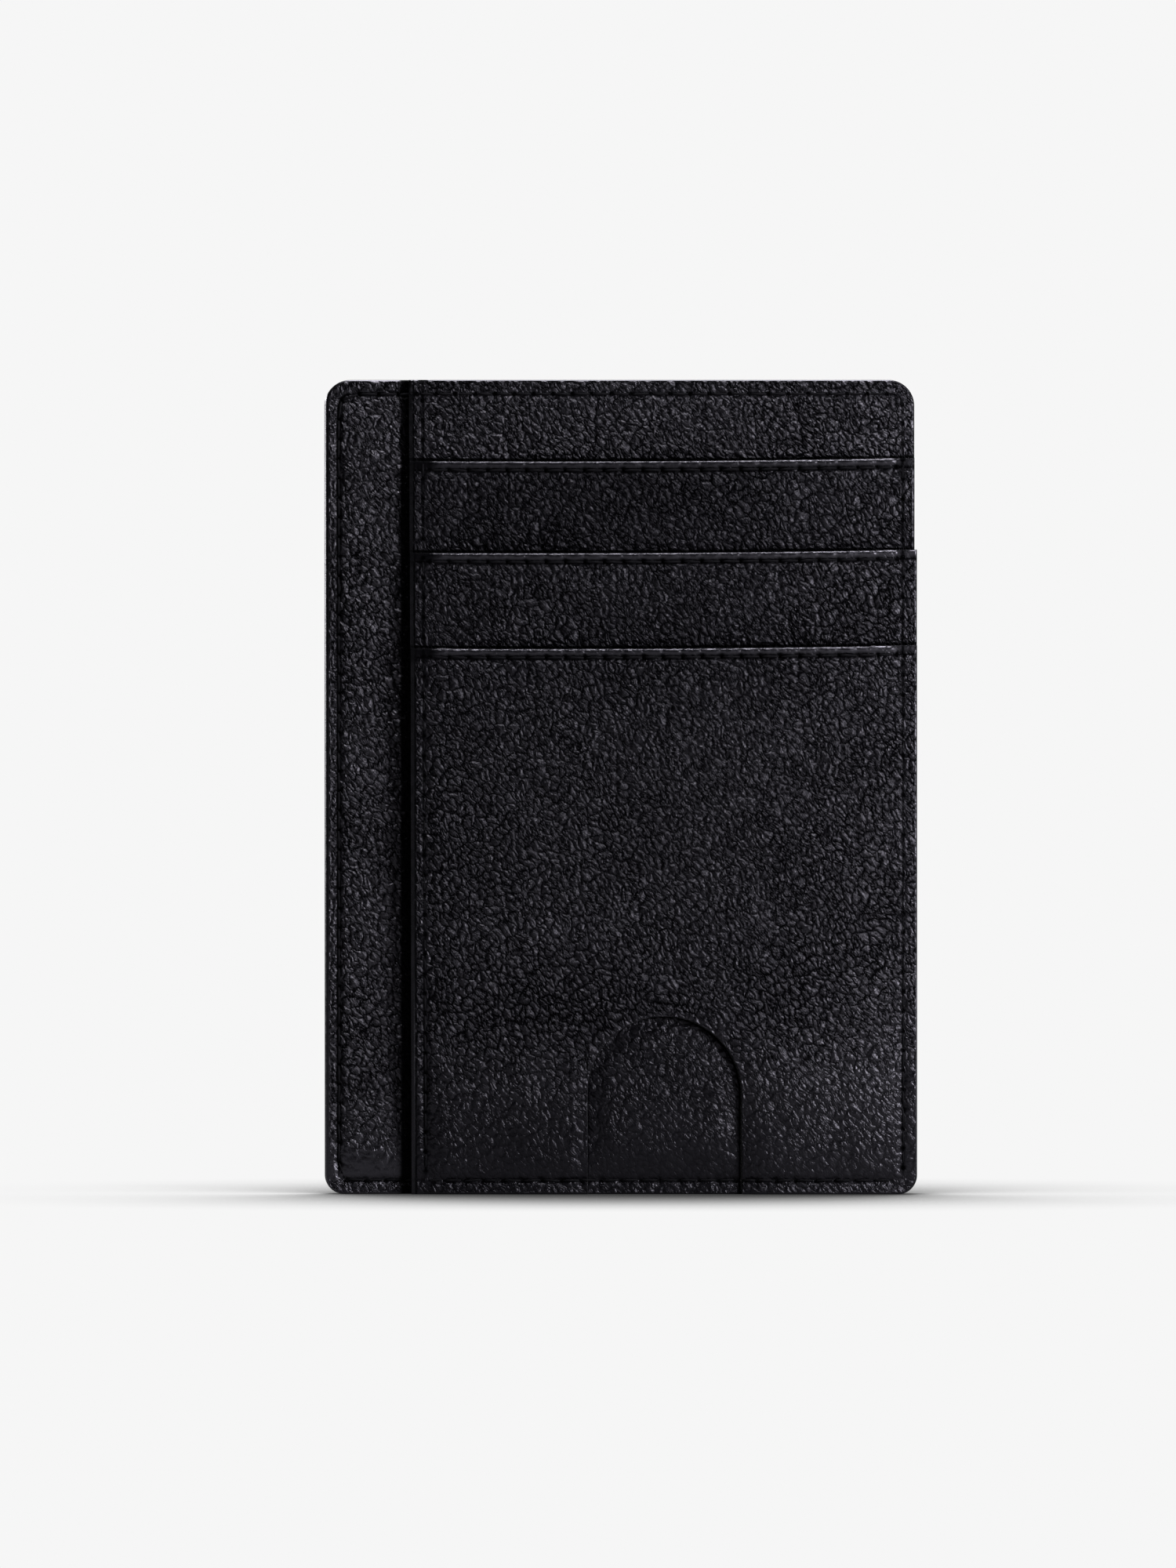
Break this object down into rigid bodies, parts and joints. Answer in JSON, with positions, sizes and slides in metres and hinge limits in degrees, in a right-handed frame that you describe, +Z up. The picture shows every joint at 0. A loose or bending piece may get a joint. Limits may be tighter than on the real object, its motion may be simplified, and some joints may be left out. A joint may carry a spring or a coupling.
{
  "type": "card holder",
  "caption": "Slim upright card holder in black grained leather: stepped card slots, a front pocket with a thumb notch, and a side-opening cash pocket beside a sewn strip.",
  "frame": {"origin": "middle of the bottom edge that it stands on, halfway through the thickness", "axes": "+Z up towards the mouths of the card slots, +X across the width towards the sewn side (the side strip is at -X), -Y towards the front with the slots, +Y towards the plain back"},
  "size_m": [0.08, 0.0056, 0.11],
  "materials": {
    "leather": "black pebble-grained cowhide, soft sheen, painted cut edges",
    "lining": "black fine twill, matt",
    "board": "thin bonded leather-fibre board",
    "thread": "black bonded polyester thread, slight sheen"
  },
  "bodies": {
    "root": {"back_cover": "leather", "side_strip": "leather", "header_panel": "leather", "top_slot_panel": "leather", "middle_slot_panel": "leather", "thumb_facing": "leather", "front_pocket_panel": "leather", "back_stiffener": "board", "back_lining": "lining", "front_lining": "lining", "header_lining": "lining", "top_slot_lining": "lining", "middle_slot_lining": "lining", "front_pocket_lining": "lining", "perimeter_stitching_front": "thread", "perimeter_stitching_back": "thread", "free_edge_stitching": "thread", "top_slot_stitching": "thread", "middle_slot_stitching": "thread", "front_pocket_stitching": "thread", "top_slot_floor_stitching": "thread", "middle_slot_floor_stitching": "thread", "facing_stitching": "thread", "strip_stitching": "thread"}
  },
  "joints": []
}
